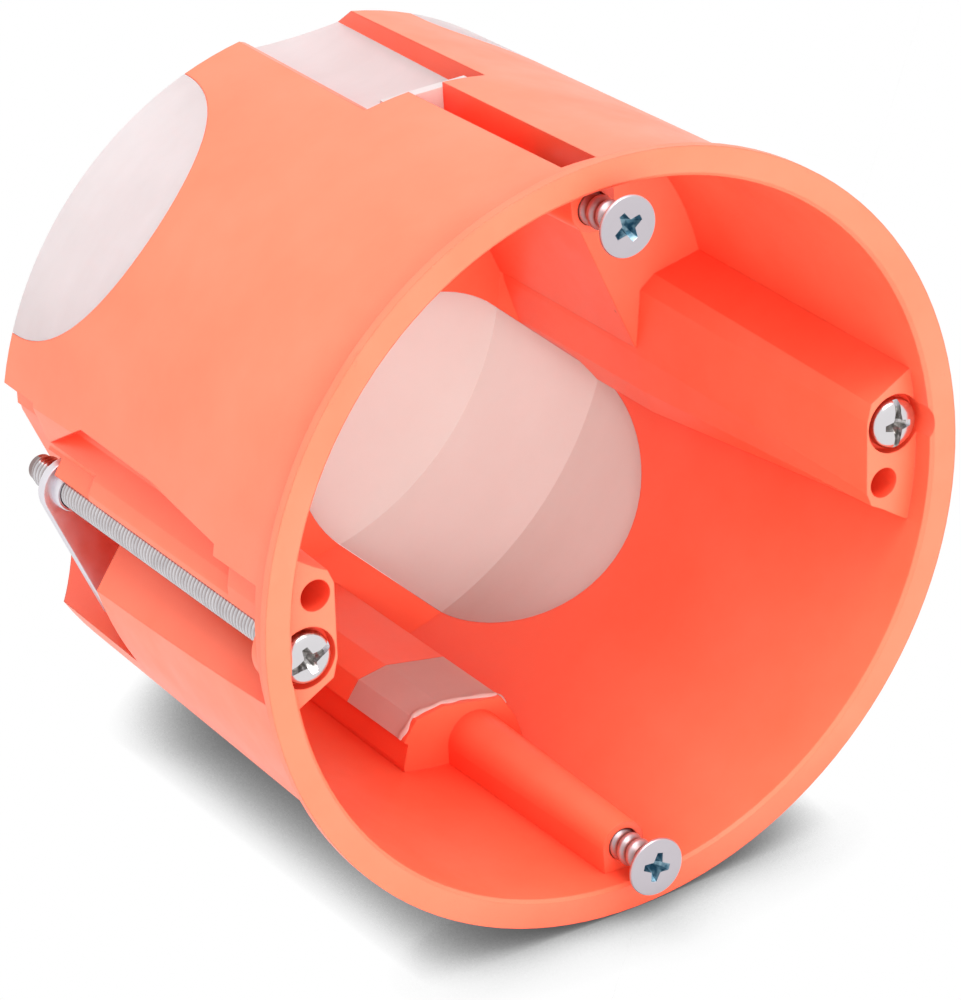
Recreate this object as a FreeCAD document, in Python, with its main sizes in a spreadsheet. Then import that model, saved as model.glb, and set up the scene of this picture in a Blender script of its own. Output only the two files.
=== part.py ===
import FreeCAD, Part
import os
import Sketcher
from FreeCAD import Placement, Rotation, Vector

# Hollow-wall back box for a 68 mm cut-out: a round moulded housing with soft cable membranes,
# two claw screws that pull steel claws against the back of the board and two device screws.
# Origin at the centre of the mouth, in the front plane of the flange; +Y runs into the wall,
# +Z is up and +X is to the right of someone who faces the wall.
doc = FreeCAD.newDocument("drywall_back_box")
sheet = doc.addObject("Spreadsheet::Sheet", "Sizes")
X_AXIS = Vector(1, 0, 0)
Y_AXIS = Vector(0, 1, 0)
Z_AXIS = Vector(0, 0, 1)

SIZES = (
    # moulded shell
    ("diameter", 70.0),
    ("flange_thickness", 0.9),
    ("mouth_radius", 32.7),
    ("mouth_bevel", 0.3),
    ("shell_front_radius", 33.5),
    ("shell_neck_depth", 4.2),
    ("shell_corner_radius", 32.5),
    ("shell_corner_depth", 49.2),
    ("shell_back_radius", 25.6),
    ("depth", 59.0),
    ("wall", 1.15),
    ("back_wall", 1.5),
    # device screws and their bosses at twelve and six o'clock
    ("device_spacing", 60.0),
    ("device_boss_front", 2.4),
    ("device_boss_radius", 2.1),
    ("device_rib_radius", 2.8),
    ("device_shank_radius", 1.45),
    ("device_length", 16.0),
    ("device_head_radius", 2.7),
    ("device_head_rim", 0.35),
    ("device_head_cone", 1.25),
    ("device_head_front", -2.7),
    ("device_recess_depth", 1.1),
    ("device_bore_depth", 20.0),
    ("running_clearance", 0.05),
    ("vent_half_width", 1.7),
    ("vent_floor", 29.8),
    # cable hoods at twelve and six o'clock
    ("hood_front", 26.2),
    ("hood_top", 25.7),
    ("hood_top_slope", 1.2),
    ("hood_foot_half", 7.5),
    ("duct_front", 27.4),
    ("duct_half_width", 6.0),
    ("duct_room", 20.0),
    ("duct_skin", 1.0),
    ("duct_skin_radius", 8.5),
    ("duct_skin_top", 32.5),
    ("saddle_front", 26.8),
    ("saddle_back", 36.0),
    ("saddle_edge", 28.0),
    # knock-through membranes
    ("membrane_half_width", 13.6),
    ("membrane_angle", 135.0),
    ("membrane_front", 35.2),
    ("membrane_inner_end", 7.9),
    ("side_membrane_half_width", 9.0),
    ("side_membrane_angle", 52.0),
    ("side_membrane_front", 38.0),
    ("side_membrane_inner_end", 14.0),
    ("seam", 0.04),
    # claw screws
    ("claw_screw_x", 30.0),
    ("claw_screw_z", 1.3),
    ("claw_shank_radius", 1.5),
    ("claw_head_radius", 2.35),
    ("claw_head_front", 1.6),
    ("claw_head_height", 1.7),
    ("claw_recess_depth", 1.0),
    ("claw_screw_tip", 47.5),
    ("recess_width", 0.8),
    ("recess_reach", 1.45),
    ("claw_head_room", 0.4),
    ("claw_neck_radius", 3.3),
    ("claw_neck_back", 5.4),
    # claw posts inside the housing and the screw channel outside
    ("post_front", 2.2),
    ("post_middle", 35.0),
    ("groove_front", 4.2),
    ("channel_depth", 2.1),
    ("ridge_top", 1.8),
    ("pocket_front", 11.3),
    ("pocket_narrows", 35.0),
    ("pilot_x", 28.75),
    ("pilot_z", -4.05),
    ("pilot_radius", 1.4),
    ("pilot_bottom", 10.4),
    ("swing_front", 43.7),
    ("swing_depth", 3.3),
    # claw and the recess where it lies folded
    ("claw_front", 41.8),
    ("claw_thickness", 1.0),
    ("claw_reach", 14.4),
    ("claw_angle", 22.3),
    ("claw_edge", 2.8),
    ("claw_width", 6.0),
    ("claw_swing_gap", 0.5),
    ("recess_floor", -4.1),
    ("recess_front", 35.6),
)
for row, (alias, value) in enumerate(SIZES, start=1):
    sheet.set(f"A{row}", alias)
    sheet.set(f"B{row}", str(value))
    sheet.setAlias(f"B{row}", alias)
doc.recompute()


def bound(text):
    """Turns $name into a reference to the sheet."""
    return text.replace("$", "Sizes.")


def bind(target, **expressions):
    for path, text in expressions.items():
        target.setExpression(path.replace("__", "."), bound(text))
    return target


def draw(sketch, corners):
    """Closed outline whose corners are bound to expressions."""
    count = len(corners)
    start = [Vector(float(i), float(i * i % 7) + i, 0) for i in range(count)]
    for i in range(count):
        sketch.addGeometry(Part.LineSegment(start[i], start[(i + 1) % count]), False)
    for i in range(count):
        sketch.addConstraint(Sketcher.Constraint("Coincident", i, 2, (i + 1) % count, 1))
    for i, (across, along) in enumerate(corners):
        for kind, text in (("DistanceX", across), ("DistanceY", along)):
            number = sketch.addConstraint(Sketcher.Constraint(kind, -1, 1, i, 1, start[i][kind == "DistanceY"]))
            sketch.setExpression(f"Constraints[{number}]", bound(text))
    return sketch


def outline(name, corners, place=Placement()):
    sketch = doc.addObject("Sketcher::SketchObject", name)
    sketch.Placement = place
    return draw(sketch, corners)


# A sketch in the plane of the mouth, seen from the front: across is +X and up is +Z.
FRONT = Rotation(X_AXIS, 90)


def prism(name, corners, front, back, about=("0", "0")):
    """Outline in the plane of the mouth, drawn about a point in it and run from one depth to another."""
    sketch = outline(name + "_outline", corners, Placement(Vector(), FRONT))
    bind(sketch, Placement__Base__x=about[0], Placement__Base__y=front, Placement__Base__z=about[1])
    body = doc.addObject("Part::Extrusion", name)
    body.Base = sketch
    body.DirMode = "Custom"
    body.Dir = Y_AXIS
    body.Solid = True
    return bind(body, LengthFwd=f"({back}) - ({front})")


def turned(name, corners):
    """Profile of radius and depth turned about the Y axis."""
    body = doc.addObject("Part::Revolution", name)
    body.Source = outline(name + "_profile", corners)
    body.Axis = Y_AXIS
    body.Angle = 360
    body.Solid = True
    return body


def lofted(name, first, second, front, back, about):
    """Straight faces from one outline to another of as many corners, both drawn about one point."""
    ends = []
    for mark, corners, depth in (("_first", first, front), ("_second", second, back)):
        sketch = outline(name + mark, corners, Placement(Vector(), FRONT))
        bind(sketch, Placement__Base__x=about[0], Placement__Base__y=depth, Placement__Base__z=about[1])
        ends.append(sketch)
    body = doc.addObject("Part::Loft", name)
    body.Sections = ends
    body.Solid = True
    body.Ruled = True
    return body


def rod(name, radius, x, z, front, back):
    """Cylinder along Y."""
    body = doc.addObject("Part::Cylinder", name)
    body.Placement = Placement(Vector(), Rotation(X_AXIS, -90))
    bind(body, Radius=radius, Height=f"({back}) - ({front})")
    return bind(body, Placement__Base__x=x, Placement__Base__y=front, Placement__Base__z=z)


def fused(name, shapes):
    body = doc.addObject("Part::MultiFuse", name)
    body.Shapes = shapes
    return body


def shared(name, shapes):
    body = doc.addObject("Part::MultiCommon", name)
    body.Shapes = shapes
    return body


def cut(name, base, tool):
    body = doc.addObject("Part::Cut", name)
    body.Base = base
    body.Tool = tool
    return body


def turned_over(name, source):
    """The same shape turned half a turn about the Y axis, as two mirrors."""
    for step, normal in (("_across", X_AXIS), ("_turned", Z_AXIS)):
        mirror = doc.addObject("Part::Mirroring", name + step)
        mirror.Source = source
        mirror.Normal = normal
        source = mirror
    return source


def both(name, source):
    return fused(name, [source, turned_over(name, source)])


# Outer form of the shell and the core that hollows it.
envelope = turned("envelope", (
    ("0", "0"),
    ("$diameter / 2", "0"),
    ("$diameter / 2", "$flange_thickness"),
    ("$shell_front_radius", "$flange_thickness"),
    ("$shell_front_radius", "$shell_neck_depth"),
    ("$shell_corner_radius", "$shell_corner_depth"),
    ("$shell_back_radius", "$depth"),
    ("0", "$depth"),
))
core = turned("core", (
    ("0", "-1"),
    ("$mouth_radius", "-1"),
    ("$mouth_radius", "0"),
    ("$mouth_radius - $mouth_bevel", "$mouth_bevel"),
    ("$shell_corner_radius - $wall", "$shell_corner_depth - $back_wall"),
    ("$shell_back_radius - 0.3", "$depth - $back_wall"),
    ("0", "$depth - $back_wall"),
))
blank = cut("blank", envelope, core)

# Blocks that stand in the hollow: the screw rib and cable hood at twelve o'clock.
rib = doc.addObject("Part::Cone", "rib")
rib.Placement = Placement(Vector(), Rotation(X_AXIS, -90))
bind(rib, Radius1="$device_boss_radius", Radius2="$device_rib_radius", Height="$hood_front + 2 - $device_boss_front")
bind(rib, Placement__Base__y="$device_boss_front", Placement__Base__z="$device_spacing / 2")
RIB_FOOT = [
    (("-" + half, "$diameter / 2"), ("-" + half, centre), (half, centre), (half, "$diameter / 2"))
    for half, centre in (("$device_boss_radius", "$device_spacing / 2"), ("$device_rib_radius", "$device_spacing / 2"))
]
rib_foot = lofted("rib_foot", *RIB_FOOT, "$device_boss_front", "$hood_front + 2", ("0", "0"))
hood = prism("hood", (
    ("-5.1", "$diameter / 2"),
    ("-5.1", "31.2"),
    ("-4.6", "29.4"),
    ("-3.2", "$hood_top + $hood_top_slope"),
    ("2.9", "$hood_top"),
    ("5.9", "$hood_top + 0.45"),
    ("7.3", "$saddle_edge"),
    ("6.9", "$saddle_edge + 0.3"),
    ("$hood_foot_half", "30.4"),
    ("$hood_foot_half", "$diameter / 2"),
), "$hood_front", "$depth")

# Claw post at three o'clock, drawn about the claw screw: its front plate carries the screw, and it
# leans in towards the back.
CLAW_AXIS = ("$claw_screw_x", "$claw_screw_z")
POST_FRONT = (
    ("3.6", "5.7"),
    ("-2.4", "2.6"),
    ("-2.9", "0.9"),
    ("-3.1", "-5.9"),
    ("-2.6", "-7.2"),
    ("-1.4", "-7.9"),
    ("3.6", "-11.4"),
)
POST_BACK = (
    ("3.6", "7.6"),
    ("-3.3", "4.5"),
    ("-4.5", "3.0"),
    ("-4.6", "-3.8"),
    ("-4.2", "-7.6"),
    ("-3.0", "-10.2"),
    ("3.6", "-13.0"),
)
post = lofted("post", POST_FRONT, POST_BACK, "$post_front", "$post_middle", CLAW_AXIS)
post_tail = prism("post_tail", POST_BACK, "$post_middle", "$depth", CLAW_AXIS)

# The folded claw lies in a recess whose end is an arc about the screw; the hollow side follows it.
def chord_block(name, corners, low, high):
    """Outline of reach outwards from the claw screw and depth, run along the folded claw."""
    sketch = outline(name + "_outline", corners, Placement(Vector(), Rotation(Y_AXIS, -1)))
    bind(sketch, Placement__Rotation__Angle="-$claw_angle")
    bind(sketch, Placement__Base__x="$claw_screw_x", Placement__Base__z="$claw_screw_z")
    body = doc.addObject("Part::Extrusion", name)
    body.Base = sketch
    body.DirMode = "Normal"
    body.Solid = True
    return bind(body, LengthFwd=high, LengthRev=low)


recess_wall = "$claw_reach + $claw_swing_gap"
bulge_side = chord_block("bulge_side", (
    ("$recess_floor - $wall - 0.3", "$recess_front - 0.6"),
    ("6.4", "$recess_front - 4.6"),
    ("6.4", "$depth"),
    ("$recess_floor - $wall - 0.3", "$depth"),
), "1.1", "26")
bulge_round = rod("bulge_round", f"{recess_wall} + $wall", *CLAW_AXIS, "0", "$depth")
bulge = shared("bulge", [bulge_side, bulge_round])
recess_side = chord_block("recess_side", (
    ("$recess_floor", "$recess_front + 0.6"),
    ("7.4", "$recess_front - 0.8"),
    ("7.4", "$depth + 1"),
    ("$recess_floor", "$depth + 1"),
), "0.2", "26")
recess_round = rod("recess_round", recess_wall, *CLAW_AXIS, "0", "$depth + 1")
recess = shared("recess", [recess_side, recess_round])

blocks = fused("blocks", [rib, rib_foot, hood, post, post_tail, bulge])
hollow = cut("hollow", core, both("all_blocks", blocks))

# Grooves and pockets of the outside: vent and cable duct at twelve, screw channel at three.
vent = prism("vent", (
    ("-$vent_half_width", "$vent_floor"),
    ("$vent_half_width", "$vent_floor"),
    ("$vent_half_width", "$diameter / 2 + 1"),
    ("-$vent_half_width", "$diameter / 2 + 1"),
), "$groove_front", "$duct_front + 0.5")
DUCT = (
    ("-$duct_half_width", "32.3"),
    ("-4", "31"),
    ("-3.5", "29.6"),
    ("-2.3", "$hood_top + $hood_top_slope + $wall"),
    ("2.8", "$hood_top + $wall"),
    ("4.8", "$hood_top + $wall + 0.5"),
    ("5.8", "$saddle_edge + 0.7"),
    ("$duct_half_width", "30.4"),
)
DUCT_MOUTH = (("$duct_half_width", "$diameter / 2 + 1"), ("-$duct_half_width", "$diameter / 2 + 1"))
duct = prism("duct", DUCT + DUCT_MOUTH, "$duct_front", "$depth + 1")
CHANNEL_FRONT = (
    ("6", "5.4"),
    ("-$channel_depth", "1.9"),
    ("-$channel_depth", "-1.9"),
    ("$ridge_top", "-2.1"),
    ("6", "-2.1"),
)
CHANNEL_BACK = (("6", "11.5"), ("-$channel_depth", "2.2")) + CHANNEL_FRONT[2:]
channel_run = lofted("channel_run", CHANNEL_FRONT, CHANNEL_BACK, "$groove_front", "$post_middle", CLAW_AXIS)
neck = rod("neck", "$claw_neck_radius", *CLAW_AXIS, "0", "$claw_neck_back")
channel = cut("channel", channel_run, neck)
channel_tail = prism("channel_tail", CHANNEL_BACK, "$post_middle", "$depth + 1", CLAW_AXIS)

# Between the channel and the deep pocket beside it stands a round-backed ridge.
ridge_relief = prism("ridge_relief", (
    ("$ridge_top", "-2"),
    ("$ridge_top", "-3.6"),
    ("$ridge_top - 0.3", "-5.2"),
    ("$ridge_top + 1.3", "-6.9"),
    ("6", "-6.9"),
    ("6", "-2"),
), "$groove_front", "$pocket_front + 1", CLAW_AXIS)
pocket_section = prism("pocket_section", (
    ("$ridge_top", "-2"),
    ("$ridge_top", "-2.7"),
    ("$ridge_top - 0.6", "-3.9"),
    ("$ridge_top - 2.1", "-5.9"),
    ("$ridge_top - 3.1", "-8.9"),
    ("6", "-8.9"),
    ("6", "-2"),
), "$pocket_front", "$swing_front + 0.5", CLAW_AXIS)

# Seen from the side, the pocket narrows to the ridge at its back.
pocket_side_outline = outline("pocket_side_outline", (
    ("$pocket_front", "-1.5"),
    ("$pocket_front", "-7.7"),
    ("$pocket_front * 2", "-8.9"),
    ("$pocket_narrows", "-8.9"),
    ("$swing_front + 0.5", "-3.7"),
    ("$swing_front + 0.5", "-1.5"),
), Placement(Vector(), Rotation(Vector(1, 1, 1), 120)))
bind(pocket_side_outline, Placement__Base__x="$claw_screw_x - 3", Placement__Base__z="$claw_screw_z")
pocket_side = doc.addObject("Part::Extrusion", "pocket_side")
pocket_side.Base = pocket_side_outline
pocket_side.DirMode = "Custom"
pocket_side.Dir = X_AXIS
pocket_side.Solid = True
bind(pocket_side, LengthFwd="10")
pocket = shared("pocket", [pocket_section, pocket_side])
back_facet = prism("back_facet", (
    ("$ridge_top", "-2"),
    ("0.7", "-3.7"),
    ("2.3", "-8.9"),
    ("6", "-8.9"),
    ("6", "-2"),
), "$pocket_narrows", "$depth + 1", CLAW_AXIS)
swing_room = prism("swing_room", (
    ("-$swing_depth", "1.6"),
    ("-$swing_depth", "-4.4"),
    ("0.1", "-7.7"),
    ("6", "-9.2"),
    ("6", "1.6"),
), "$swing_front", "$depth + 1", CLAW_AXIS)
eye_room = rod(
    "eye_room", "$claw_width - $claw_edge + 0.35", *CLAW_AXIS, "$claw_front - $claw_swing_gap", "$depth + 1")
head_seat = rod(
    "head_seat", "$claw_head_radius + $claw_head_room", *CLAW_AXIS, "-1", "$claw_head_front + $claw_head_height")
claw_bore = rod(
    "claw_bore", "$claw_shank_radius + $running_clearance", *CLAW_AXIS, "$claw_head_front", "$claw_neck_back + 1")
pilot_hole = rod("pilot_hole", "$pilot_radius", "$pilot_x", "$pilot_z", "0", "$pilot_bottom")
device_bore = rod(
    "device_bore", "$device_shank_radius + $running_clearance", "0", "$device_spacing / 2",
    "0", "$device_bore_depth")
cuts = fused("cuts", [
    vent, duct, channel, channel_tail, ridge_relief, pocket, back_facet, swing_room, eye_room, recess, head_seat,
    claw_bore, pilot_hole, device_bore])
moulding = cut("moulding", cut("shell", envelope, hollow), both("all_cuts", cuts))


def racetrack(name, half, angle, front, inner_end, ease):
    """Window with a round front end on the side wall and a round inner end on the back."""
    width = f"({half} - {ease})"
    side_bar = doc.addObject("Part::Box", name + "_side_bar")
    bind(side_bar, Length=f"2 * {width}", Width=f"$depth + 2 - {front} - {half}", Height="$diameter / 2 + 5")
    bind(side_bar, Placement__Base__x=f"-{width}", Placement__Base__y=f"{front} + {half}")
    side_end = doc.addObject("Part::Cylinder", name + "_side_end")
    bind(side_end, Radius=width, Height="$diameter / 2 + 5", Placement__Base__y=f"{front} + {half}")
    back_bar = doc.addObject("Part::Box", name + "_back_bar")
    bind(back_bar, Length=f"2 * {width}", Width="$depth + 2", Height="$diameter / 2 + 5")
    bind(back_bar, Placement__Base__x=f"-{width}", Placement__Base__z=f"{inner_end} + {half}")
    back_end = rod(name + "_back_end", width, "0", f"{inner_end} + {half}", "0", "$depth + 2")
    window = shared(name, [fused(name + "_side", [side_bar, side_end]), fused(name + "_back", [back_bar, back_end])])
    window.Placement = Placement(Vector(), Rotation(Y_AXIS, -1))
    return bind(window, Placement__Rotation__Angle=f"90 - ({angle})")


# Soft membranes that a cable is pushed through, set in windows of the shell.
MEMBRANES = (
    ("membrane_upper_left", "$membrane_half_width", "$membrane_angle", "$membrane_front", "$membrane_inner_end"),
    ("membrane_lower_right", "$membrane_half_width", "$membrane_angle - 180", "$membrane_front", "$membrane_inner_end"),
    ("membrane_upper_right", "$side_membrane_half_width", "$side_membrane_angle", "$side_membrane_front",
     "$side_membrane_inner_end"),
)
openings = []
nodes = {}
for name, half, angle, front, inner_end in MEMBRANES:
    openings.append(racetrack(name + "_window", half, angle, front, inner_end, "0"))
    patch = racetrack(name + "_patch", half, angle, front, inner_end, "$seam")
    nodes[name] = shared(name, [blank, patch])


def saddle_room(name, ease):
    """The part of a hood that its soft saddle takes."""
    room = doc.addObject("Part::Box", name)
    bind(room, Length="2 * ($hood_foot_half + 1)", Width=f"$saddle_back - $saddle_front - 2 * {ease}")
    bind(room, Height=f"$saddle_edge - {ease} - $duct_room")
    bind(room, Placement__Base__x="-$hood_foot_half - 1", Placement__Base__y=f"$saddle_front + {ease}")
    return bind(room, Placement__Base__z="$duct_room")


# The saddle on each cable hood is in one with the skin that lines its duct to the back.
openings.append(both("saddle_rooms", saddle_room("saddle_room", "0")))
saddle = shared("saddle", [moulding, saddle_room("saddle_inside", "$seam")])
skin_bed = prism("skin_bed", DUCT[1:] + (("4.5", "$duct_skin_top"), ("-4", "$duct_skin_top")), "$duct_front", "$depth")
skin_hollow = rod(
    "skin_hollow", "$duct_skin_radius", "0.8", "$hood_top + $wall + $duct_skin + $duct_skin_radius + 0.6",
    "$duct_front + $duct_skin", "$depth + 1")
skin = cut("skin", shared("skin_block", [envelope, skin_bed]), skin_hollow)
nodes["duct_membrane_top"] = fused("duct_membrane_top", [saddle, skin])
nodes["duct_membrane_bottom"] = turned_over("duct_membrane_bottom", nodes["duct_membrane_top"])
nodes["housing"] = cut("housing", moulding, fused("openings", openings))

# Claw: a flat steel plate with an eye on the screw, folded into its recess.
claw_depths = ("$claw_front", "$claw_front + $claw_thickness")
claw_slab = chord_block("claw_slab", (
    ("$claw_edge - $claw_width", claw_depths[0]),
    ("$claw_edge", claw_depths[0]),
    ("$claw_edge", claw_depths[1]),
    ("$claw_edge - $claw_width", claw_depths[1]),
), "0", "$claw_reach + 1")
claw_sweep = rod("claw_sweep", "$claw_reach", *CLAW_AXIS, *claw_depths)
claw_eye = rod("claw_eye", "$claw_edge", *CLAW_AXIS, *claw_depths)
claw_thread = rod("claw_thread", "$claw_shank_radius + $running_clearance", *CLAW_AXIS, *claw_depths)
claw_plate = fused("claw_plate", [shared("claw_arm", [claw_slab, claw_sweep]), claw_eye])
nodes["claw_right"] = cut("claw_right", claw_plate, claw_thread)
nodes["claw_left"] = turned_over("claw_left", nodes["claw_right"])


def screw(name, profile, recess_depth, front, x, z):
    """Screw turned from one profile, with a cross recess sunk in its head."""
    body = doc.addObject("PartDesign::Body", name + "_blank")
    sketch = body.newObject("Sketcher::SketchObject", name + "_profile")
    plane = next(item for item in body.Origin.OriginFeatures if item.Role == "XY_Plane")
    sketch.AttachmentSupport = [(plane, "")]
    sketch.MapMode = "FlatFace"
    draw(sketch, profile)
    turn = body.newObject("PartDesign::Revolution", name + "_turn")
    turn.Profile = sketch
    turn.ReferenceAxis = (sketch, ["V_Axis"])
    turn.Angle = 360
    body.Tip = turn
    bind(body, Placement__Base__x=x, Placement__Base__z=z)
    half = "$recess_width / 2"
    reach = "$recess_reach"
    quarter = ((half, reach), (half, half), (reach, half))
    corners = []
    for across, along in ((1, 1), (1, -1), (-1, -1), (-1, 1)):
        signed = [(f"{across} * {u}", f"{along} * {v}") for u, v in quarter]
        corners += signed if across * along > 0 else signed[::-1]
    recess = prism(name + "_recess", corners, f"{front} - 0.1", f"{front} + {recess_depth}")
    bind(recess.Base, Placement__Base__x=x, Placement__Base__z=z)
    return cut(name, body, recess)


DEVICE_SCREW = (
    ("0", "$device_head_front"),
    ("$device_head_radius", "$device_head_front"),
    ("$device_head_radius", "$device_head_front + $device_head_rim"),
    ("$device_shank_radius", "$device_head_front + $device_head_rim + $device_head_cone"),
    ("$device_shank_radius", "$device_head_front + $device_length - $device_shank_radius"),
    ("$device_shank_radius / 4", "$device_head_front + $device_length"),
    ("0", "$device_head_front + $device_length"),
)
CLAW_SCREW = (
    ("0", "$claw_head_front"),
    ("$claw_head_radius * 0.6", "$claw_head_front"),
    ("$claw_head_radius * 0.9", "$claw_head_front + 0.35"),
    ("$claw_head_radius", "$claw_head_front + 0.85"),
    ("$claw_head_radius", "$claw_head_front + $claw_head_height"),
    ("$claw_shank_radius", "$claw_head_front + $claw_head_height"),
    ("$claw_shank_radius", "$claw_screw_tip - 0.4"),
    ("$claw_shank_radius - 0.4", "$claw_screw_tip"),
    ("0", "$claw_screw_tip"),
)
half_spacing = "$device_spacing / 2"
for name, x, z in (("device_screw_top", "0", half_spacing), ("device_screw_bottom", "0", "-" + half_spacing)):
    nodes[name] = screw(name, DEVICE_SCREW, "$device_recess_depth", "$device_head_front", x, z)
for name, side in (("claw_screw_right", ""), ("claw_screw_left", "-")):
    x, z = (side + value for value in CLAW_AXIS)
    nodes[name] = screw(name, CLAW_SCREW, "$claw_recess_depth", "$claw_head_front", x, z)

for name, node in nodes.items():
    node.Label = name
doc.recompute()
for item in doc.Objects:
    if "Invalid" in item.State or "Error" in item.State:
        raise RuntimeError(f"{item.Name} failed: {item.State}")
for name, node in nodes.items():
    if node.Shape.isNull() or not node.Shape.isValid():
        raise RuntimeError(f"{name} has no valid shape")
os.makedirs("parts", exist_ok=True)
for name, node in nodes.items():
    node.Shape.exportStep(f"parts/{name}.step")
    print(name, len(node.Shape.Solids), round(node.Shape.Volume, 2))
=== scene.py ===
import math

import bmesh
import bpy
from mathutils import Matrix, Vector


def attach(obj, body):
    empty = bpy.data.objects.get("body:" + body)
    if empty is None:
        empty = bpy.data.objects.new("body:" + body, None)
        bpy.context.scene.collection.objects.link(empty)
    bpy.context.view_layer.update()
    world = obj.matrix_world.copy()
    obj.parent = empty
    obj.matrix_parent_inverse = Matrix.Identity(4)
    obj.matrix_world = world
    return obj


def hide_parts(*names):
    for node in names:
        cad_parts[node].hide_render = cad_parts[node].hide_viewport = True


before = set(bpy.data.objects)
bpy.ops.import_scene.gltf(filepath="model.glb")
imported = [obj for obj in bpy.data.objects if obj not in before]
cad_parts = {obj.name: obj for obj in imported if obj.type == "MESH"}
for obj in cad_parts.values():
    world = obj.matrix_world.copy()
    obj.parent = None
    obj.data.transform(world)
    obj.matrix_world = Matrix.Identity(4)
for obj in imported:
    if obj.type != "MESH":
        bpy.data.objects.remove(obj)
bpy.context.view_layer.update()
print("frame loaded")

# Pieces and the floor are given in millimetres, and what goes into a shader or a lamp in metres.
mm = 0.001


# Shader helpers

def newMaterial(name):
    material = bpy.data.materials.new(name)
    material.use_nodes = True
    tree = material.node_tree
    tree.nodes.clear()
    return material, tree


def addNode(tree, kind, inputs=None, **settings):
    node = tree.nodes.new(kind)
    for key, value in settings.items():
        setattr(node, key, value)
    for key, value in (inputs or {}).items():
        socket = node.inputs[key]
        if isinstance(value, bpy.types.NodeSocket):
            tree.links.new(value, socket)
        else:
            socket.default_value = value
    return node


def calc(tree, operation, first, second=0.0):
    inputs = {0: first, 1: second}
    return addNode(tree, "ShaderNodeMath", inputs, operation=operation).outputs[0]


def plus(tree, first, second):
    return calc(tree, "ADD", first, second)


def times(tree, first, second):
    return calc(tree, "MULTIPLY", first, second)


def vectorCalc(tree, operation, first, second=(0, 0, 0)):
    inputs = {0: first, 1: second}
    return addNode(tree, "ShaderNodeVectorMath", inputs, operation=operation).outputs


def mapRange(tree, value, low, high, newLow, newHigh):
    node = addNode(tree, "ShaderNodeMapRange", {
        "Value": value, "From Min": low, "From Max": high, "To Min": newLow, "To Max": newHigh})
    return node.outputs["Result"]


def colourRamp(tree, factor, stops):
    ramp = addNode(tree, "ShaderNodeValToRGB", {"Fac": factor})
    elements = ramp.color_ramp.elements
    while len(elements) < len(stops):
        elements.new(0.5)
    for element, (position, colour) in zip(elements, stops):
        element.position = position
        element.color = colour
    return ramp.outputs["Color"]


def mixColour(tree, factor, first, second):
    inputs = {"Factor": factor, "A": first, "B": second}
    return addNode(tree, "ShaderNodeMix", inputs, data_type="RGBA").outputs["Result"]


def mixShader(tree, factor, first, second):
    inputs = {"Fac": factor, 1: first, 2: second}
    return addNode(tree, "ShaderNodeMixShader", inputs).outputs["Shader"]


def objectCoords(tree):
    return addNode(tree, "ShaderNodeTexCoord").outputs["Object"]


def separated(tree, vector):
    return addNode(tree, "ShaderNodeSeparateXYZ", {"Vector": vector}).outputs


def noise(tree, coords, scale, detail=3.0, roughness=0.5):
    node = addNode(tree, "ShaderNodeTexNoise", {
        "Vector": coords, "Scale": scale, "Detail": detail, "Roughness": roughness})
    return node.outputs["Fac"]


def streaks(tree, coords, turn, stretch, detail, roughness=0.5):
    mapped = addNode(tree, "ShaderNodeMapping", {
        "Vector": coords, "Rotation": turn, "Scale": stretch})
    return noise(tree, mapped.outputs["Vector"], 1.0, detail, roughness)


def bumped(tree, height, strength, distance, normal=None):
    inputs = {"Height": height, "Strength": strength, "Distance": distance}
    if normal is not None:
        inputs["Normal"] = normal
    return addNode(tree, "ShaderNodeBump", inputs).outputs["Normal"]


def openness(tree, reach, samples):
    inputs = {"Distance": reach}
    return addNode(tree, "ShaderNodeAmbientOcclusion", inputs, samples=samples).outputs["AO"]


def seenDirectly(tree):
    path = addNode(tree, "ShaderNodeLightPath").outputs
    bounced = calc(tree, "MAXIMUM", path["Is Glossy Ray"], path["Is Transmission Ray"])
    return calc(tree, "MAXIMUM", path["Is Camera Ray"], bounced)


def finishMaterial(tree, shader):
    addNode(tree, "ShaderNodeOutputMaterial", {"Surface": shader})


# Housing plastic: orange and satin, with painted shade that makes crevices darker and redder,
# with a fine grain, softened edges, faint scuffs, a few specks and a rubbed flange.
# A span is where a value fades in or out.

plasticLook = {
    "tints": (
        (0.3, (0.955, 0.168, 0.083, 1)), (0.5, (0.965, 0.183, 0.094, 1)),
        (0.7, (0.97, 0.196, 0.105, 1))),
    "clouds": {"scale": 90, "detail": 4, "roughness": 0.6},
    "speck": {
        "tint": (0.30, 0.04, 0.02, 1), "scale": 210.0, "radius": (0.02, 0.05),
        "chosen": (0.95, 0.96), "most": 0.6},
    # Painted shade: a darker red where the surface is enclosed, set by how enclosed it is
    "paintedCreviceShade": {
        "tint": (0.93, 0.045, 0.016, 1), "reach": 0.011, "samples": 2, "span": (0.3, 0.84),
        "most": 0.85},
    "rub": {
        "tint": (0.74, 0.13, 0.07, 1), "flange": (0.0002, 0.0012), "span": (0.62, 0.70),
        "most": 0.45, "smudges": {"scale": 420, "detail": 5, "roughness": 0.75}},
    "edge": {"radius": 0.00022, "samples": 2},
    "grain": {"scale": 2600, "detail": 2},
    "grainBump": {"strength": 0.05, "distance": 0.0001},
    "ripple": {"scale": 160, "detail": 3},
    "rippleBump": {"strength": 0.05, "distance": 0.0006},
    "scuffs": {"turn": (0.3, 0.9, 0.5), "stretch": (2600, 90, 2600), "detail": 2},
    "scuffSpan": (0.70, 0.74),
    "scuffBump": {"strength": 0.08, "distance": 0.00005},
    "shineSpan": (0.3, 0.7),
    "roughness": (0.33, 0.43),
    "index": 1.46,
    "specular": 0.5,
}


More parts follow.
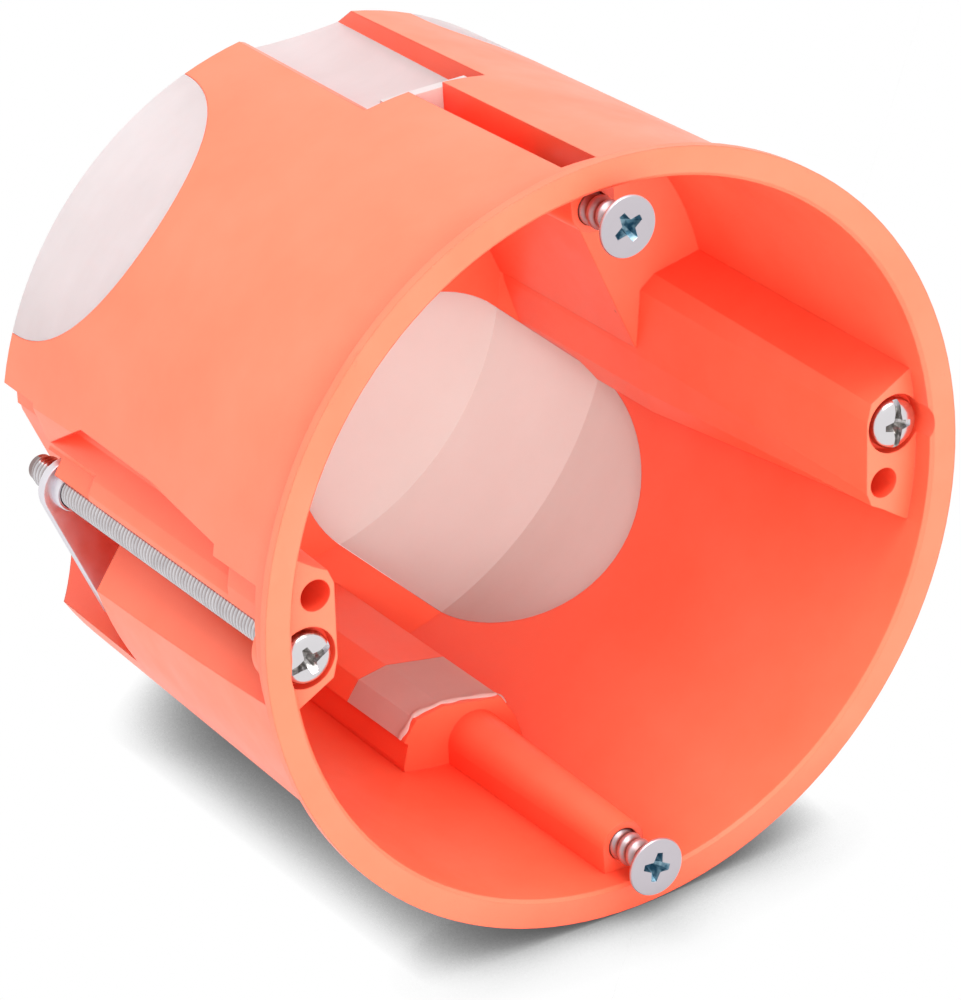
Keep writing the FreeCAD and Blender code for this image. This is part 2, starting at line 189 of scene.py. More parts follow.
def plasticTint(tree, coords):
    look = plasticLook
    tint = colourRamp(tree, noise(tree, coords, **look["clouds"]), look["tints"])
    speck = look["speck"]
    dots = addNode(tree, "ShaderNodeTexVoronoi", {
        "Vector": coords, "Scale": speck["scale"], "Randomness": 1.0}).outputs
    draw = addNode(tree, "ShaderNodeSeparateColor", {"Color": dots["Color"]}).outputs["Red"]
    near = mapRange(tree, dots["Distance"], *speck["radius"], 1.0, 0.0)
    chosen = mapRange(tree, draw, *speck["chosen"], 0.0, speck["most"])
    tint = mixColour(tree, times(tree, near, chosen), tint, speck["tint"])
    # Painted shade: where the surface is enclosed, the tint turns to a darker red.
    paintedCreviceShade = look["paintedCreviceShade"]
    opened = openness(tree, paintedCreviceShade["reach"], paintedCreviceShade["samples"])
    paintedShadeShare = mapRange(tree, opened, *paintedCreviceShade["span"], paintedCreviceShade["most"], 0.0)
    tint = mixColour(tree, paintedShadeShare, tint, paintedCreviceShade["tint"])
    rub = look["rub"]
    onFlange = mapRange(tree, separated(tree, coords)["Y"], *rub["flange"], 1.0, 0.0)
    smudge = mapRange(tree, noise(tree, coords, **rub["smudges"]), *rub["span"], 0.0, rub["most"])
    return mixColour(tree, times(tree, onFlange, smudge), tint, rub["tint"])


def makePlastic():
    look = plasticLook
    material, tree = newMaterial("housingPlastic")
    coords = objectCoords(tree)
    tint = plasticTint(tree, coords)
    edge = look["edge"]
    rounded = addNode(tree, "ShaderNodeBevel", {"Radius": edge["radius"]}, samples=edge["samples"])
    normal = rounded.outputs["Normal"]
    ripple = noise(tree, coords, **look["ripple"])
    scuffs = streaks(tree, coords, **look["scuffs"])
    normal = bumped(tree, noise(tree, coords, **look["grain"]), normal=normal, **look["grainBump"])
    normal = bumped(tree, ripple, normal=normal, **look["rippleBump"])
    mark = mapRange(tree, scuffs, *look["scuffSpan"], 0.0, 1.0)
    normal = bumped(tree, mark, normal=normal, **look["scuffBump"])
    body = addNode(tree, "ShaderNodeBsdfPrincipled", {
        "Base Color": tint, "Normal": normal, "IOR": look["index"],
        "Roughness": mapRange(tree, ripple, *look["shineSpan"], *look["roughness"]),
        "Specular IOR Level": look["specular"]})
    finishMaterial(tree, body.outputs["BSDF"])
    return material


# Soft membranes: milky, partly see-through, slightly uneven, with a painted orange glow on their
# inner side that stands in for the light from the orange plastic

membraneLooks = {
    "membrane": {
        "pale": (0.82, 0.86, 0.88, 1), "deep": (0.78, 0.81, 0.825, 1),
        "paintedGlowTint": (1.0, 0.76, 0.66, 1), "paintedGlowShare": 0.45, "through": 0.58},
    "ductSkin": {
        "pale": (0.83, 0.81, 0.82, 1), "deep": (0.79, 0.76, 0.765, 1),
        "paintedGlowTint": (1.0, 0.72, 0.62, 1), "paintedGlowShare": 0.5, "through": 0.42},
}
membraneGrain = {
    "clouds": {"scale": 130, "detail": 4, "roughness": 0.6},
    "veins": {
        "turn": (0.2, 0.4, 0.7), "stretch": (60, 200, 60), "detail": 4, "roughness": 0.65},
    "stops": (0.36, 0.62),
    "inwards": (-0.25, 0.05),
    "ripple": {"scale": 240, "detail": 3},
    "bump": {"strength": 0.12, "distance": 0.0005},
    "roughness": 0.4,
    "index": 1.42,
    "specular": 0.45,
}


def facesInwards(tree, coords):
    facing = addNode(tree, "ShaderNodeTexCoord").outputs["Normal"]
    fromAxis = vectorCalc(tree, "MULTIPLY", coords, (1, 0, 1))[0]
    outwards = vectorCalc(tree, "NORMALIZE", fromAxis)[0]
    away = vectorCalc(tree, "ADD", outwards, (0, 1, 0))[0]
    product = vectorCalc(tree, "DOT_PRODUCT", facing, away)["Value"]
    return mapRange(tree, product, *membraneGrain["inwards"], 1.0, 0.0)


def makeMembrane(name):
    look = membraneLooks[name]
    grain = membraneGrain
    material, tree = newMaterial(name)
    coords = objectCoords(tree)
    clouds = noise(tree, coords, **grain["clouds"])
    veins = streaks(tree, coords, **grain["veins"])
    mean = times(tree, plus(tree, clouds, veins), 0.5)
    tint = colourRamp(tree, mean, list(zip(grain["stops"], (look["deep"], look["pale"]))))
    # Painted light: faces turned inwards get an orange tint for the light from the orange plastic.
    paintedGlowShare = times(tree, facesInwards(tree, coords), look["paintedGlowShare"])
    tint = mixColour(tree, paintedGlowShare, tint, look["paintedGlowTint"])
    normal = bumped(tree, noise(tree, coords, **grain["ripple"]), **grain["bump"])
    body = addNode(tree, "ShaderNodeBsdfPrincipled", {
        "Base Color": tint, "Roughness": grain["roughness"], "Normal": normal,
        "IOR": grain["index"], "Specular IOR Level": grain["specular"]})
    through = addNode(tree, "ShaderNodeBsdfTranslucent", {"Color": tint, "Normal": normal})
    finishMaterial(tree, mixShader(
        tree, look["through"], body.outputs["BSDF"], through.outputs["BSDF"]))
    return material


# Zinc-plated steel: frosted device screws with a bluish recess, bright claw screws, smooth claws.
# For the screws: the axis (x and z without sign), the recess by depth, the thread by radius; the
# thread roots carry painted shade with a painted orange reflection.

steelLooks = {
    "frostedZinc": {
        "dark": (0.56, 0.52, 0.555, 1), "pale": (0.63, 0.585, 0.625, 1),
        "roughness": (0.42, 0.52), "pit": 0.08, "axis": (0.0, 0.030),
        "recess": ((0.08, 0.20, 0.29, 1), (0.42, 0.60, 0.68, 1)), "depths": (-0.00266, -0.0013),
        "thread": (0.00108, 0.00142), "root": (0.30, 0.20, 0.19, 1)},
    "brightZinc": {
        "dark": (0.58, 0.56, 0.58, 1), "pale": (0.72, 0.70, 0.72, 1),
        "roughness": (0.16, 0.24), "pit": 0.05, "axis": (0.030, 0.0013),
        "recess": ((0.34, 0.33, 0.32, 1), (0.72, 0.70, 0.68, 1)), "depths": (0.0020, 0.0032),
        "thread": (0.00122, 0.00144), "root": (0.26, 0.18, 0.17, 1)},
    "clawSteel": {
        "dark": (0.80, 0.77, 0.81, 1), "pale": (0.84, 0.81, 0.86, 1),
        "roughness": (0.36, 0.42), "pit": 0.03},
}
steelGrain = {
    "clouds": {"scale": 700, "detail": 4, "roughness": 0.6},
    "stops": (0.32, 0.62),
    "pits": {"scale": 3200, "detail": 3, "roughness": 0.6},
    "pitDistance": 0.00006,
    "shineSpan": (0.3, 0.7),
    "recessClouds": {"scale": 1500, "detail": 2},
    "recessStops": (0.4, 0.62),
    "recessRadius": 0.0016,
}


def axisRadius(tree, place, axis):
    squares = []
    for label, middle in zip("XZ", axis):
        off = calc(tree, "SUBTRACT", calc(tree, "ABSOLUTE", place[label]), middle)
        squares.append(times(tree, off, off))
    return calc(tree, "SQRT", plus(tree, *squares))


def screwTint(tree, coords, look, tint):
    grain = steelGrain
    place = separated(tree, coords)
    radius = axisRadius(tree, place, look["axis"])
    # Painted shade with a painted orange reflection: darker red-brown towards the thread roots.
    root = mapRange(tree, radius, *look["thread"], 1.0, 0.0)
    tint = mixColour(tree, root, tint, look["root"])
    clouds = noise(tree, coords, **grain["recessClouds"])
    deep = colourRamp(tree, clouds, list(zip(grain["recessStops"], look["recess"])))
    inside = calc(tree, "LESS_THAN", radius, grain["recessRadius"])
    behind = calc(tree, "GREATER_THAN", place["Y"], look["depths"][0])
    onHead = calc(tree, "LESS_THAN", place["Y"], look["depths"][1])
    inRecess = times(tree, inside, times(tree, behind, onHead))
    return mixColour(tree, inRecess, mixColour(tree, onHead, tint, look["pale"]), deep)


def makeSteel(name):
    look = steelLooks[name]
    grain = steelGrain
    material, tree = newMaterial(name)
    coords = objectCoords(tree)
    clouds = noise(tree, coords, **grain["clouds"])
    tint = colourRamp(tree, clouds, list(zip(grain["stops"], (look["dark"], look["pale"]))))
    if "axis" in look:
        tint = screwTint(tree, coords, look, tint)
    pits = noise(tree, coords, **grain["pits"])
    body = addNode(tree, "ShaderNodeBsdfPrincipled", {
        "Base Color": tint, "Metallic": 1.0,
        "Roughness": mapRange(tree, clouds, *grain["shineSpan"], *look["roughness"]),
        "Normal": bumped(tree, pits, look["pit"], grain["pitDistance"])})
    finishMaterial(tree, body.outputs["BSDF"])
    return material


# The steel nodes are replaced further down, so their look here isn't seen.

def lookOf(nodeName):
    if nodeName == "housing":
        return "housing"
    return "ductSkin" if nodeName.startswith("duct") else "membrane"


looks = {"housing": makePlastic()}
for name in membraneLooks:
    looks[name] = makeMembrane(name)
for name in steelLooks:
    looks[name] = makeSteel(name)
for name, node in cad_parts.items():
    node.data.materials.clear()
    node.data.materials.append(looks[lookOf(name)])
print("materials made")


# Mesh helpers: a piece's place is in its mesh and its object stays at the origin

def linked(name, data):
    item = bpy.data.objects.new(name, data)
    bpy.context.scene.collection.objects.link(item)
    return item


def makePiece(name, mesh, body, replaced=()):
    piece = linked(name, mesh)
    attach(piece, body)
    if replaced:
        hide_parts(*replaced)


def circle(radius, steps):
    angles = [2 * math.pi * step / steps for step in range(steps)]
    return [(radius * math.cos(angle), radius * math.sin(angle)) for angle in angles]


def ringAt(bm, points, depth, place=(0.0, 0.0)):
    return [bm.verts.new(((place[0] + x) * mm, depth * mm, (place[1] + z) * mm))
            for x, z in points]


def bridge(bm, rings):
    for first, second in zip(rings, rings[1:]):
        for step in range(len(first)):
            after = (step + 1) % len(first)
            bm.faces.new((first[step], first[after], second[after], second[step]))


def closeSolid(bm, rings):
    bridge(bm, rings)
    bm.faces.new(rings[0])
    bm.faces.new(rings[-1])
    bmesh.ops.recalc_face_normals(bm, faces=bm.faces)


def smoothUpTo(mesh, degrees):
    mesh.shade_smooth()
    mesh.set_sharp_from_angle(angle=math.radians(degrees))


def meshFrom(bm, name, material=None, smooth=None):
    mesh = bpy.data.meshes.new(name)
    bm.to_mesh(mesh)
    bm.free()
    if material is not None:
        mesh.materials.append(material)
    if smooth is not None:
        smoothUpTo(mesh, smooth)
    return mesh


def evaluatedMesh(holder, name):
    bpy.context.view_layer.update()
    graph = bpy.context.evaluated_depsgraph_get()
    mesh = bpy.data.meshes.new_from_object(holder.evaluated_get(graph))
    mesh.name = name
    holder.modifiers.clear()
    bpy.data.objects.remove(holder)
    return mesh


def joined(parts, name, material):
    bm = bmesh.new()
    for part in parts:
        bm.from_mesh(part)
    mesh = meshFrom(bm, name, material)
    for face in mesh.polygons:
        face.material_index = 0
    return mesh


# Screw threads: one Geometry Nodes tree winds a ridge with a rounded crest round an axis along Y

threadForm = {
    "inputs": (
        ("Core Radius", "Float"), ("Crest Radius", "Float"), ("Pitch", "Float"),
        ("Turns", "Int"), ("Steps Per Turn", "Int"), ("Start", "Float"), ("Runout", "Float"),
        ("Axis X", "Float"), ("Axis Z", "Float"), ("Crest Width", "Float"),
        ("Finish", "Material")),
    "across": 7,
    "foot": 0.46,
    "weld": 0.000004,
}


def buildThreadTree():
    tree = bpy.data.node_groups.new("screwThread", "GeometryNodeTree")
    face = tree.interface
    face.new_socket("Geometry", in_out="OUTPUT", socket_type="NodeSocketGeometry")
    for label, kind in threadForm["inputs"]:
        face.new_socket(label, in_out="INPUT", socket_type="NodeSocket" + kind)
    given = addNode(tree, "NodeGroupInput").outputs
    core = given["Core Radius"]
    turns = given["Turns"]
    along = plus(tree, times(tree, turns, given["Steps Per Turn"]), 1)
    strip = addNode(tree, "GeometryNodeMeshGrid", {
        "Size X": 1.0, "Size Y": 1.0, "Vertices X": along, "Vertices Y": threadForm["across"]})
    place = separated(tree, addNode(tree, "GeometryNodeInputPosition").outputs[0])
    turn = times(tree, plus(tree, place["X"], 0.5), turns)
    angle = times(tree, turn, -2 * math.pi)
    fromCrest = calc(tree, "ABSOLUTE", place["Y"])
    slope = mapRange(tree, fromCrest, given["Crest Width"], threadForm["foot"], 1.0, 0.0)
    startFade = mapRange(tree, turn, 0.0, given["Runout"], 0.0, 1.0)
    turnsLeft = calc(tree, "SUBTRACT", turns, turn)
    endFade = mapRange(tree, turnsLeft, 0.0, given["Runout"], 0.0, 1.0)
    fade = calc(tree, "MINIMUM", startFade, endFade)
    height = times(tree, calc(tree, "SUBTRACT", given["Crest Radius"], core), slope)
    radius = plus(tree, core, times(tree, height, fade))
    advance = plus(tree, turn, plus(tree, place["Y"], 0.5))
    depth = plus(tree, given["Start"], times(tree, advance, given["Pitch"]))
    atX = plus(tree, given["Axis X"], times(tree, radius, calc(tree, "COSINE", angle)))
    atZ = plus(tree, given["Axis Z"], times(tree, radius, calc(tree, "SINE", angle)))
    position = addNode(tree, "ShaderNodeCombineXYZ", {"X": atX, "Y": depth, "Z": atZ})
    moved = addNode(tree, "GeometryNodeSetPosition", {
        "Geometry": strip.outputs["Mesh"], "Position": position.outputs[0]})
    welded = addNode(tree, "GeometryNodeMergeByDistance", {
        "Geometry": moved.outputs[0], "Distance": threadForm["weld"]})
    smooth = addNode(tree, "GeometryNodeSetShadeSmooth", {"Geometry": welded.outputs[0]})
    real = addNode(tree, "GeometryNodeRealizeInstances", {"Geometry": smooth.outputs[0]})
    dressed = addNode(tree, "GeometryNodeSetMaterial", {
        "Geometry": real.outputs[0], "Material": given["Finish"]})
    addNode(tree, "NodeGroupOutput", {"Geometry": dressed.outputs[0]})
    return tree


threadTree = buildThreadTree()


def setInputs(modifier, values):
    sockets = {}
    for item in modifier.node_group.interface.items_tree:
        if item.in_out == "INPUT":
            sockets[item.name] = item.identifier
    for label, value in values.items():
        modifier[sockets[label]] = value


def makeThread(name, look, place):
    holder = linked(name, bpy.data.meshes.new(name))
    modifier = holder.modifiers.new("thread", "NODES")
    modifier.node_group = threadTree
    axis = Vector((place[0] * mm, 0, place[1] * mm))
    setInputs(modifier, {
        "Core Radius": look["core"] * mm, "Crest Radius": look["crest"] * mm,
        "Pitch": look["pitch"] * mm, "Turns": look["turns"], "Steps Per Turn": look["steps"],
        "Start": look["start"] * mm, "Runout": look["runout"], "Axis X": place[0] * mm,
        "Axis Z": place[1] * mm, "Crest Width": look["crestWidth"],
        "Finish": looks[look["finish"]]})
    mesh = evaluatedMesh(holder, name)
    outward = 0.0
    for face in mesh.polygons:
        side = face.center - axis
        outward += face.normal.x * side.x + face.normal.z * side.z
    if outward < 0:
        mesh.flip_normals()
    return mesh


# Screw heads: a turned profile with a cross recess that narrows inwards, and on some heads a
# slot across it. The layers are shares of the recess's sink, its reach and half an arm's width.

headForm = {"steps": 64, "smooth": 32}
recess = {
    "mouth": -0.1,
    "mouthLayer": (1.04, 1.1),
    "layers": ((0.55, 0.74, 0.9), (1.0, 0.3, 0.5)),
    "armEnd": 0.75,
    "armRoot": 1.3,
    "slotReach": 2.6,
    "slotFloor": 0.8,
}


def plugMesh(layers, place, front):
    bm = bmesh.new()
    closeSolid(bm, [ringAt(bm, points, front + depth, place) for depth, points in layers])
    return meshFrom(bm, "plug")


def crossPoints(reach, half, turn):
    end = half * recess["armEnd"]
    root = half * recess["armRoot"]
    points = []
    for quarter in range(4):
        spin = Matrix.Rotation(turn + quarter * math.pi / 2, 2)
        points += [spin @ Vector(corner) for corner in ((reach, -end), (reach, end), (root, root))]
    return points


def crossPlug(place, front, look, turn):
    far, wide = recess["mouthLayer"]
    layers = [(recess["mouth"], crossPoints(look["reach"] * far, look["arm"] * wide, turn))]
    for deep, far, wide in recess["layers"]:
        points = crossPoints(look["reach"] * far, look["arm"] * wide, turn)
        layers.append((look["sink"] * deep, points))
    return plugMesh(layers, place, front)


def slotPlug(place, front, look, turn):
    half, sink = look["slot"]
    far = recess["slotReach"]
    spin = Matrix.Rotation(turn, 2)
    layers = []
    for depth, wide in ((recess["mouth"], half), (sink, half * recess["slotFloor"])):
        corners = ((-far, -wide), (far, -wide), (far, wide), (-far, wide))
        layers.append((depth, [spin @ Vector(corner) for corner in corners]))
    return plugMesh(layers, place, front)


def sunkHead(name, look, place, turn):
    core = look["core"]
    tip = look["tip"]
    shank = ((core, look["neck"]), (core, tip - look["taper"]), (look["tipRadius"], tip))
    bm = bmesh.new()
    closeSolid(bm, [
        ringAt(bm, circle(radius, headForm["steps"]), depth, place)
        for radius, depth in look["head"] + shank])
    head = linked(name, meshFrom(bm, name, looks[look["finish"]]))
    front = look["head"][0][1]
    makers = (crossPlug, slotPlug) if "slot" in look else (crossPlug,)
    plugs = []
    for number, maker in enumerate(makers):
        plug = linked(f"{name}Plug{number}", maker(place, front, look, turn))
        cutting = head.modifiers.new(f"recess{number}", "BOOLEAN")
        cutting.operation = "DIFFERENCE"
        cutting.solver = "EXACT"
        cutting.object = plug
        plugs.append(plug)
    mesh = evaluatedMesh(head, name)
    for plug in plugs:
        bpy.data.objects.remove(plug)
    smoothUpTo(mesh, headForm["smooth"])
    return mesh


def makeScrew(name, look, place, turn):
    head = sunkHead(name + "Head", look, place, turn)
    thread = makeThread(name + "Thread", look, place)
    mesh = joined((head, thread), name + "Steel", looks[look["finish"]])
    makePiece(name + "Dressed", mesh, name, (name,))


# Device screws: countersunk head, coarse thread; head front to tip matches the CAD screw

deviceScrew = {
    "finish": "frostedZinc",
    "height": 30,
    "head": (
        (2.45, -2.70), (2.62, -2.66), (2.69, -2.56), (2.70, -2.42), (2.66, -2.33), (2.50, -2.2),
        (1.42, -1.12), (1.15, -0.95)),
    "neck": -0.9,
    "tip": 13.28,
    "taper": 1.4,
    "tipRadius": 0.25,
    "core": 1.08,
    "crest": 1.44,
    "crestWidth": 0.1,
    "pitch": 1.25,
    "start": -1.35,
    "turns": 11,
    "steps": 40,
    "runout": 0.6,
    "reach": 1.38,
    "arm": 0.34,
    "sink": 1.1,
}

for name, side, turn in (("device_screw_top", 1, 0.45), ("device_screw_bottom", -1, -0.3)):
    makeScrew(name, deviceScrew, (0, side * deviceScrew["height"]), turn)
print("device screws made")


# Claw screws: domed pan head with cross and slot, fine thread over nearly the whole shank

clawScrew = {
    "finish": "brightZinc",
    "place": (30.0, 1.3),
    "head": (
        (0.9, 1.60), (1.4, 1.64), (1.8, 1.75), (2.08, 1.93), (2.26, 2.18), (2.34, 2.5),
        (2.35, 3.1), (2.28, 3.28), (1.3, 3.3)),
    "neck": 3.3,
    "tip": 47.5,
    "taper": 0.2,
    "tipRadius": 0.99,
    "core": 1.24,
    "crest": 1.49,
    "crestWidth": 0.08,
    "pitch": 0.5,
    "start": 3.5,
    "turns": 86,
    "steps": 24,
    "runout": 1.0,
    "reach": 1.35,
    "arm": 0.33,
    "sink": 1.15,
    "slot": (0.32, 0.62),
}

for name, side, turn in (("claw_screw_right", 1, 1.52), ("claw_screw_left", -1, 0.33)):
    makeScrew(name, clawScrew, [side * value for value in clawScrew["place"]], turn)
print("claw screws made")


# Claws: steel plate with an eye on the screw and a collar where the eye is tapped.
# Points of the two long edges are across from that edge and along the claw.

claw = {
    "front": 41.8,
    "thickness": 1.0,
    "eye": 2.78,
    "eyeSteps": 24,
    "hole": 1.56,
    "holeSteps": 48,
    "width": 6.0,
    "angle": 22.3,
    "outerEdge": ((0.0, 1.0), (0.0, 13.2), (-0.25, 13.75), (-0.9, 14.0), (-2.0, 14.1)),
    "innerEdge": ((0.5, 13.0), (0.1, 12.4), (0.0, 11.6), (0.0, 2.0)),
    "shoulder": 0.6,
    "rounding": 0.14,
    "roundingSteps": 3,
    "sharp": 1.0,
    "smooth": 35,
    "collar": {"radius": 1.85, "height": 0.85, "round": (0.12, 0.15), "sunk": 0.05},
}


def clawOutline():
    eye = claw["eye"]
    points = []
    for step in range(claw["eyeSteps"] + 1):
        angle = math.radians(180 + 180 * step / claw["eyeSteps"])
        points.append((eye * math.cos(angle), eye * math.sin(angle)))
    points += [(eye + across, along) for across, along in claw["outerEdge"]]
    points += [(eye - claw["width"] + across, along) for across, along in claw["innerEdge"]]
    return points + [(-eye, claw["shoulder"])]


def clawPlate(name, side):
    turn = math.radians(claw["angle"])
    centre = Vector(clawScrew["place"])
    outwards = Vector((math.cos(turn), math.sin(turn)))
    onwards = Vector((-math.sin(turn), math.cos(turn)))
    depths = (claw["front"], claw["front"] + claw["thickness"])
    bm = bmesh.new()
    for points in (clawOutline(), circle(claw["hole"], claw["holeSteps"])):
        placed = [(centre + outwards * across + onwards * along) * side
                  for across, along in points]
        bridge(bm, [ringAt(bm, placed, depth) for depth in depths])
    for depth in depths:
        flat = [edge for edge in bm.edges
                if all(abs(corner.co.y - depth * mm) < 1e-7 for corner in edge.verts)]
        bmesh.ops.triangle_fill(bm, edges=flat, use_beauty=True, use_dissolve=False)
    bmesh.ops.recalc_face_normals(bm, faces=bm.faces)
    sharp = [edge for edge in bm.edges
             if len(edge.link_faces) == 2 and edge.calc_face_angle() > claw["sharp"]]
    bmesh.ops.bevel(
        bm, geom=sharp, offset=claw["rounding"] * mm, segments=claw["roundingSteps"],
        profile=0.5, affect="EDGES", clamp_overlap=True)
    return meshFrom(bm, name + "Plate", looks["clawSteel"], claw["smooth"])


def clawCollar(name, side):
    collar = claw["collar"]
    radius = collar["radius"]
    end = claw["front"] - collar["height"]
    foot = claw["front"] + collar["sunk"]
    inset, drop = collar["round"]
    profile = (
        (claw["hole"], end), (radius - inset, end), (radius, end + drop),
        (radius + collar["sunk"], foot), (claw["hole"], foot))
    centre = Vector(clawScrew["place"]) * side
    bm = bmesh.new()
    rings = [ringAt(bm, circle(wide, claw["holeSteps"]), depth, centre) for wide, depth in profile]
    bridge(bm, rings + rings[:1])
    bmesh.ops.recalc_face_normals(bm, faces=bm.faces)
    return meshFrom(bm, name + "Collar", looks["clawSteel"], claw["smooth"])


for name, side in (("claw_right", 1), ("claw_left", -1)):
    parts = (clawPlate(name, side), clawCollar(name, side))
    mesh = joined(parts, name + "Steel", looks["clawSteel"])
    makePiece(name + "Dressed", mesh, name, (name,))
print("claws made")


# Saddle lips: the wavy raised seam along the front edge of each soft saddle.
# A sway is a rate, a start and a share of the wave; the swell is a rate and a share of the radius.

lip = {
    "depth": 27.0,
    "radius": 0.33,
    "flatness": 0.8,
    "lift": -0.04,
    "wave": 0.13,
    "sways": ((0.31, 0.0, 0.7), (0.73, 1.0, 0.3)),
    "swell": (0.45, 0.2),
    "line": (
        (-3.95, 28.1), (-3.55, 27.4), (-3.0, 26.86), (-1.5, 26.56), (0.0, 26.27), (1.5, 25.97),
        (2.9, 25.7), (4.4, 25.92), (5.7, 26.12), (6.3, 26.75), (6.9, 27.5), (7.25, 28.0)),
    "stepsAlong": 6,
    "stepsRound": 10,
    "smooth": 60,
}


def alongLine(line, steps):
    points = []
    for (x0, z0), (x1, z1) in zip(line, line[1:]):
        for step in range(steps):
            part = step / steps
            points.append((x0 + (x1 - x0) * part, z0 + (z1 - z0) * part))
    return points + [line[-1]]


def lipRing(bm, centres, number, side):
    x, z = centres[number]
    before = centres[max(number - 1, 0)]
    after = centres[min(number + 1, len(centres) - 1)]
    along = Vector((after[0] - before[0], after[1] - before[1])).normalized()
    inwards = Vector((along.y, -along.x))
    sway = sum(math.sin(number * rate + start) * share for rate, start, share in lip["sways"])
    depth = lip["depth"] + lip["wave"] * sway
    rate, share = lip["swell"]
    thick = lip["radius"] * (1 + share * math.sin(number * rate))
    ring = []
    for step in range(lip["stepsRound"]):
        angle = 2 * math.pi * step / lip["stepsRound"]
        rise = thick * lip["flatness"] * math.sin(angle) + lip["lift"]
        point = (side * (x + inwards.x * rise), depth + thick * math.cos(angle),
                 side * (z + inwards.y * rise))
        ring.append(bm.verts.new([value * mm for value in point]))
    return ring


def makeLip(name, node, side):
    bm = bmesh.new()
    centres = alongLine(lip["line"], lip["stepsAlong"])
    closeSolid(bm, [lipRing(bm, centres, number, side) for number in range(len(centres))])
    makePiece(name, meshFrom(bm, name, looks["ductSkin"], lip["smooth"]), node)


for name, node, side in (("lipTop", "box", 1), ("lipBottom", "box", -1)):
    makeLip(name, node, side)
print("saddle lips made")


# Web between the right claw's pocket and the upper right membrane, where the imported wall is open.
# Its two faces are parallel to the plane through the box's axis at the angle, moved aside by
# the offsets.

pocketWeb = {
    "angle": 52.0,
    "offsets": (8.55, 9.03),
    "outline": (
        (22.2, 43.3), (24.4, 43.3), (25.6, 45.4), (25.6, 54.6), (25.2, 56.2), (24.2, 57.9),
        (22.2, 57.9)),
}


def makePocketWeb():
    turn = math.radians(pocketWeb["angle"])
    bm = bmesh.new()
    faces = []
    for offset in pocketWeb["offsets"]:
        faces.append([bm.verts.new((
            (along * math.cos(turn) + offset * math.sin(turn)) * mm, depth * mm,
            (along * math.sin(turn) - offset * math.cos(turn)) * mm))
            for along, depth in pocketWeb["outline"]])
    closeSolid(bm, faces)
    makePiece("pocketWeb", meshFrom(bm, "pocketWeb", looks["housing"]), "box")


makePocketWeb()
print("pocket web made")


# Stage: pale floor under the flange's lowest point and the back corner, tilted as the box lies.
# To the camera and in reflections it is white, darkened only where the box shades it.

floorLook = {
    "front": -35.0,
    "back": -31.92,
    "depth": 49.2,
    "reach": 6000.0,
    "gap": 0.05,
    "tints": ((0.86, 0.86, 0.86, 1), (0.9, 0.9, 0.9, 1)),
    "grainScale": 40,
    "grainSpan": (0.4, 0.6),
    "grainMost": 0.1,
    "reachOfShade": 0.0078,
    "samples": 8,
    "shade": ((0.0, 0.04), (0.4, 0.2), (0.55, 0.37), (0.7, 0.62), (0.88, 0.91), (0.97, 1.0)),
}


def floorMaterial():
    look = floorLook
    material, tree = newMaterial("floorPaper")
    grain = noise(tree, objectCoords(tree), look["grainScale"])
    share = mapRange(tree, grain, *look["grainSpan"], 0.0, look["grainMost"])
    tint = mixColour(tree, share, *look["tints"])
    matte = addNode(tree, "ShaderNodeBsdfDiffuse", {"Color": tint})
    opened = openness(tree, look["reachOfShade"], look["samples"])
    shade = colourRamp(tree, opened, [(at, (v, v, v, 1)) for at, v in look["shade"]])
    white = addNode(tree, "ShaderNodeEmission", {"Color": shade, "Strength": 1.0})
    finishMaterial(tree, mixShader(
        tree, seenDirectly(tree), matte.outputs["BSDF"], white.outputs["Emission"]))
    return material


def makeFloor():
    look = floorLook
    mesh = bpy.data.meshes.new("floor")
    reach = look["reach"] * mm
    corners = [(-reach, -reach, 0), (reach, -reach, 0), (reach, reach, 0), (-reach, reach, 0)]
    mesh.from_pydata(corners, [], [(0, 1, 2, 3)])
    mesh.materials.append(floorMaterial())
    floor = linked("floor", mesh)
    floor.rotation_euler = (math.atan((look["back"] - look["front"]) / look["depth"]), 0, 0)
    floor.location = (0, 0, (look["front"] - look["gap"]) * mm)


makeFloor()
print("floor made")


# Camera fitted to the photograph: turned axes and the place of the mouth's centre in camera
# millimetres

cameraFit = {
    "turns": (0.52957, -0.49020, -0.32869),
    "mouth": (11.5402, 5.1470, 408.448),
    "focalPixels": 4883.30,
    "picture": (961, 1000),
    "principal": (486.99, 484.87),
    "sensor": 36,
    "clip": (0.01, 20),
}


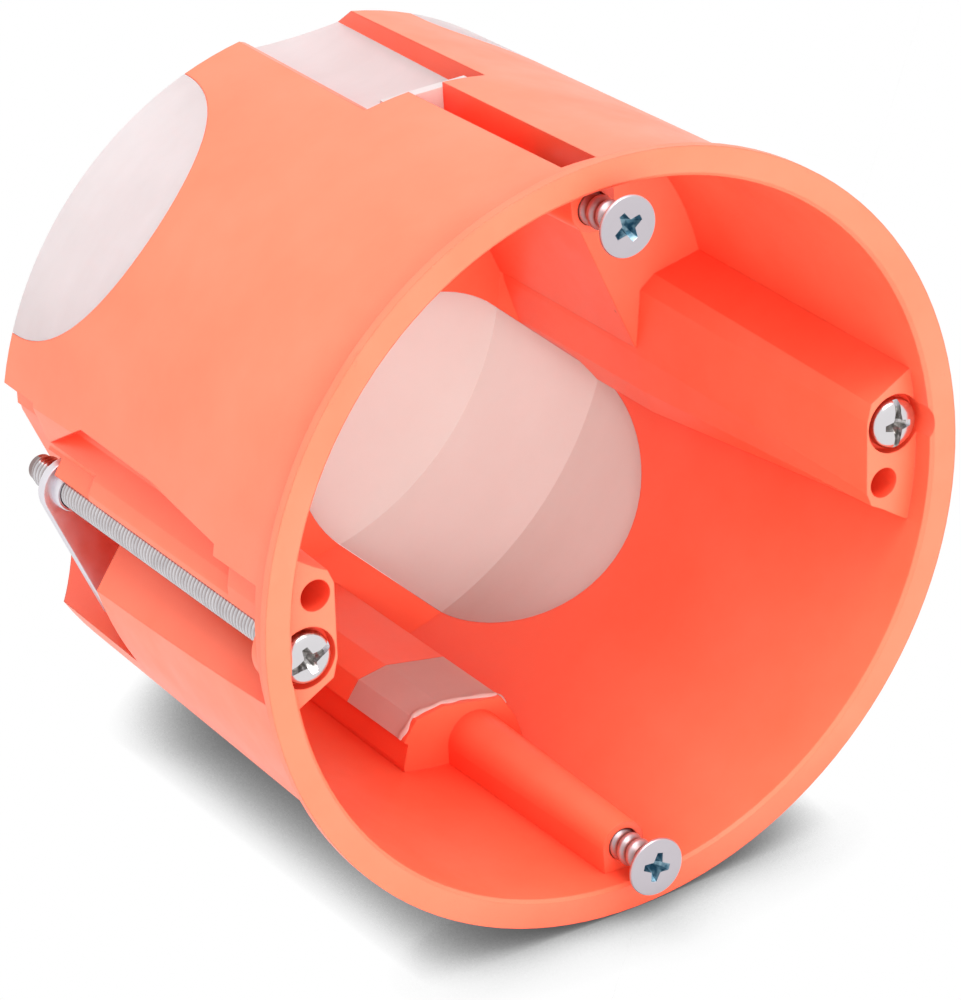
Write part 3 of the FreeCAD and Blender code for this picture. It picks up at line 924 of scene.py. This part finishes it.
def makeCamera():
    turnX, turnY, turnZ = cameraFit["turns"]
    turn = (Matrix.Rotation(turnZ, 3, "Z") @ Matrix.Rotation(turnY, 3, "Y")
            @ Matrix.Rotation(turnX, 3, "X"))
    toPicture = turn @ Matrix(((1, 0, 0), (0, 0, -1), (0, 1, 0)))
    toBlender = Matrix(((1, 0, 0), (0, -1, 0), (0, 0, -1))) @ toPicture
    place = -(toPicture.transposed() @ Vector(cameraFit["mouth"])) * mm
    lens = bpy.data.cameras.new("camera")
    width, height = cameraFit["picture"]
    lens.sensor_fit = "AUTO"
    lens.sensor_width = cameraFit["sensor"]
    lens.lens = cameraFit["focalPixels"] * cameraFit["sensor"] / height
    lens.shift_x = (width / 2 - cameraFit["principal"][0]) / height
    lens.shift_y = (cameraFit["principal"][1] - height / 2) / height
    lens.clip_start, lens.clip_end = cameraFit["clip"]
    camera = linked("camera", lens)
    camera.matrix_world = toBlender.transposed().to_4x4()
    camera.location = place
    bpy.context.scene.camera = camera
    return camera


camera = makeCamera()
print("camera at", [round(v, 4) for v in camera.location])


# Lights: a large soft key above the shell, a fill from the front that reflections don't show,
# and a bright surround, pure white where it is seen

lightLook = {
    "key": {"place": (0.02, -0.20, 0.95), "size": 0.6, "power": 7.0, "mirrored": True},
    "fill": {"place": (-0.30, -0.90, 0.02), "size": 0.7, "power": 9.0, "mirrored": False},
}
lightAim = (0, 0.028, 0)
surroundStrengths = (1.02, 1.0)


def makeLight(name, place, size, power, mirrored):
    lamp = bpy.data.lights.new(name, "AREA")
    lamp.shape = "SQUARE"
    lamp.size = size
    lamp.energy = power
    holder = linked(name, lamp)
    holder.location = place
    holder.visible_glossy = mirrored
    aim = Vector(lightAim) - Vector(place)
    holder.rotation_euler = aim.to_track_quat("-Z", "Y").to_euler()


def makeSurround():
    world = bpy.data.worlds.new("world")
    world.use_nodes = True
    tree = world.node_tree
    tree.nodes.clear()
    soft, white = [
        addNode(tree, "ShaderNodeBackground", {"Color": (1, 1, 1, 1), "Strength": strength})
        for strength in surroundStrengths]
    shown = mixShader(
        tree, seenDirectly(tree), soft.outputs["Background"], white.outputs["Background"])
    addNode(tree, "ShaderNodeOutputWorld", {"Surface": shown})
    bpy.context.scene.world = world


for name, look in lightLook.items():
    makeLight(name, **look)
makeSurround()
bpy.context.scene.view_settings.view_transform = "Standard"
print("lights made")
